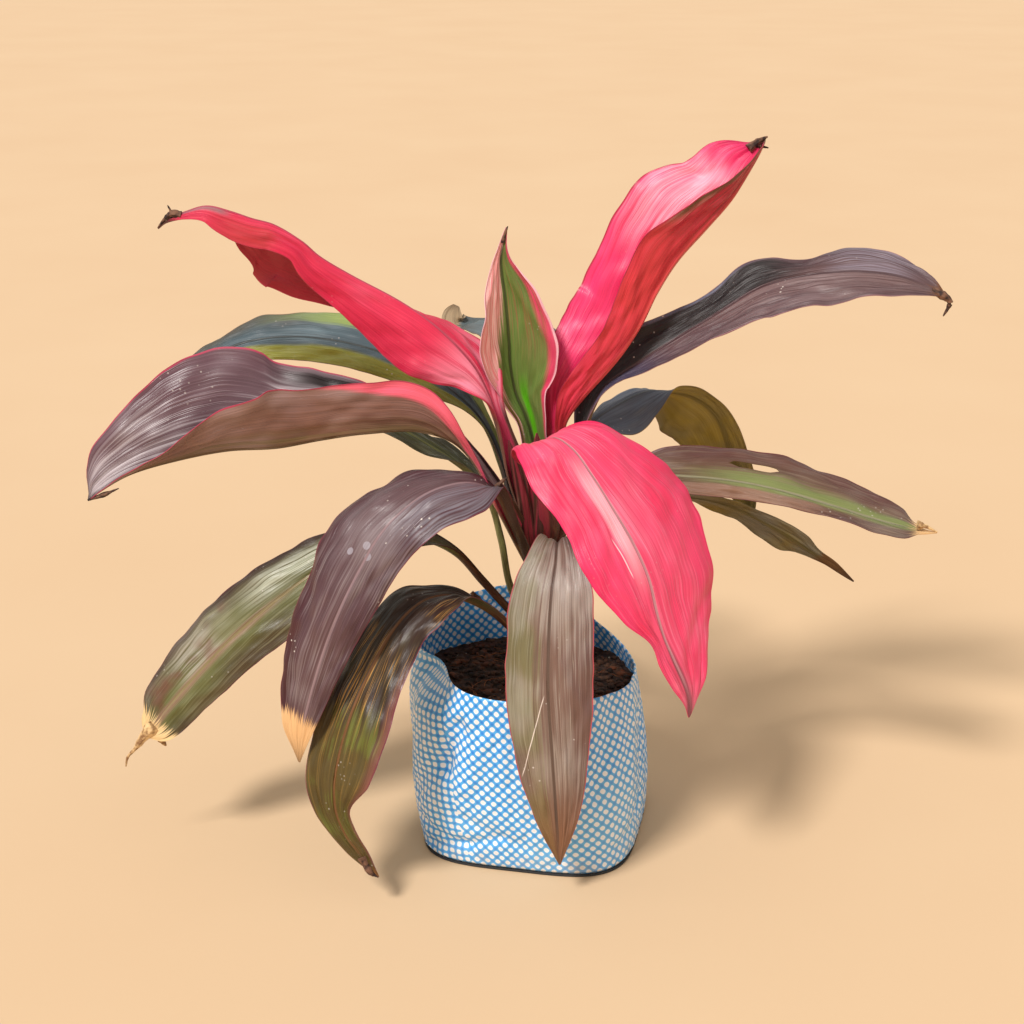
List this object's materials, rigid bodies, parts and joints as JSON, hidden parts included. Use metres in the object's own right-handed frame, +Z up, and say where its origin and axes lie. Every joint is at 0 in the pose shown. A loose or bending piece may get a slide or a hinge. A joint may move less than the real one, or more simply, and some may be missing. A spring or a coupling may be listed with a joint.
{
  "type": "potted cordyline",
  "caption": "Red and purple leaved cordyline (sold as red dracaena) with a short cane, standing in potting soil in a soft checked woven-plastic grow bag.",
  "frame": {"origin": "middle of the bag's flat base, on the surface that the plant stands on", "axes": "+Z up along the cane, -Y the plant's front where the pink leaf and the silvery leaf hang, +X to the right seen from the front"},
  "size_m": [0.6145, 0.3357, 0.5321],
  "materials": {
    "bag_cloth": "glossy coated woven plastic, white-dotted blue check",
    "potting_soil": "damp crumbly potting mix",
    "cane_bark": "ringed bark",
    "leaf_pink": "satin leaf",
    "leaf_purple": "satin leaf",
    "leaf_mauve": "satin leaf with a silvery sheen",
    "leaf_olive": "satin leaf",
    "leaf_green": "satin leaf"
  },
  "bodies": {
    "root": {"grow_bag": "bag_cloth", "soil": "potting_soil", "cane": "cane_bark", "leaf_left_broad": "leaf_mauve", "leaf_left_arched": "leaf_purple", "leaf_left_low_dark": "leaf_purple", "leaf_left_low_green": "leaf_olive", "leaf_left_upper_pink": "leaf_pink", "leaf_left_back": "leaf_green", "leaf_left_back_low": "leaf_green", "leaf_back": "leaf_green", "leaf_spear": "leaf_green", "leaf_right_upper_pink": "leaf_pink", "leaf_right_purple": "leaf_purple", "leaf_right_back": "leaf_olive", "leaf_right_slim": "leaf_olive", "leaf_right_low_back": "leaf_olive", "leaf_front_pink": "leaf_pink", "leaf_front_silvery": "leaf_mauve"}
  },
  "joints": []
}
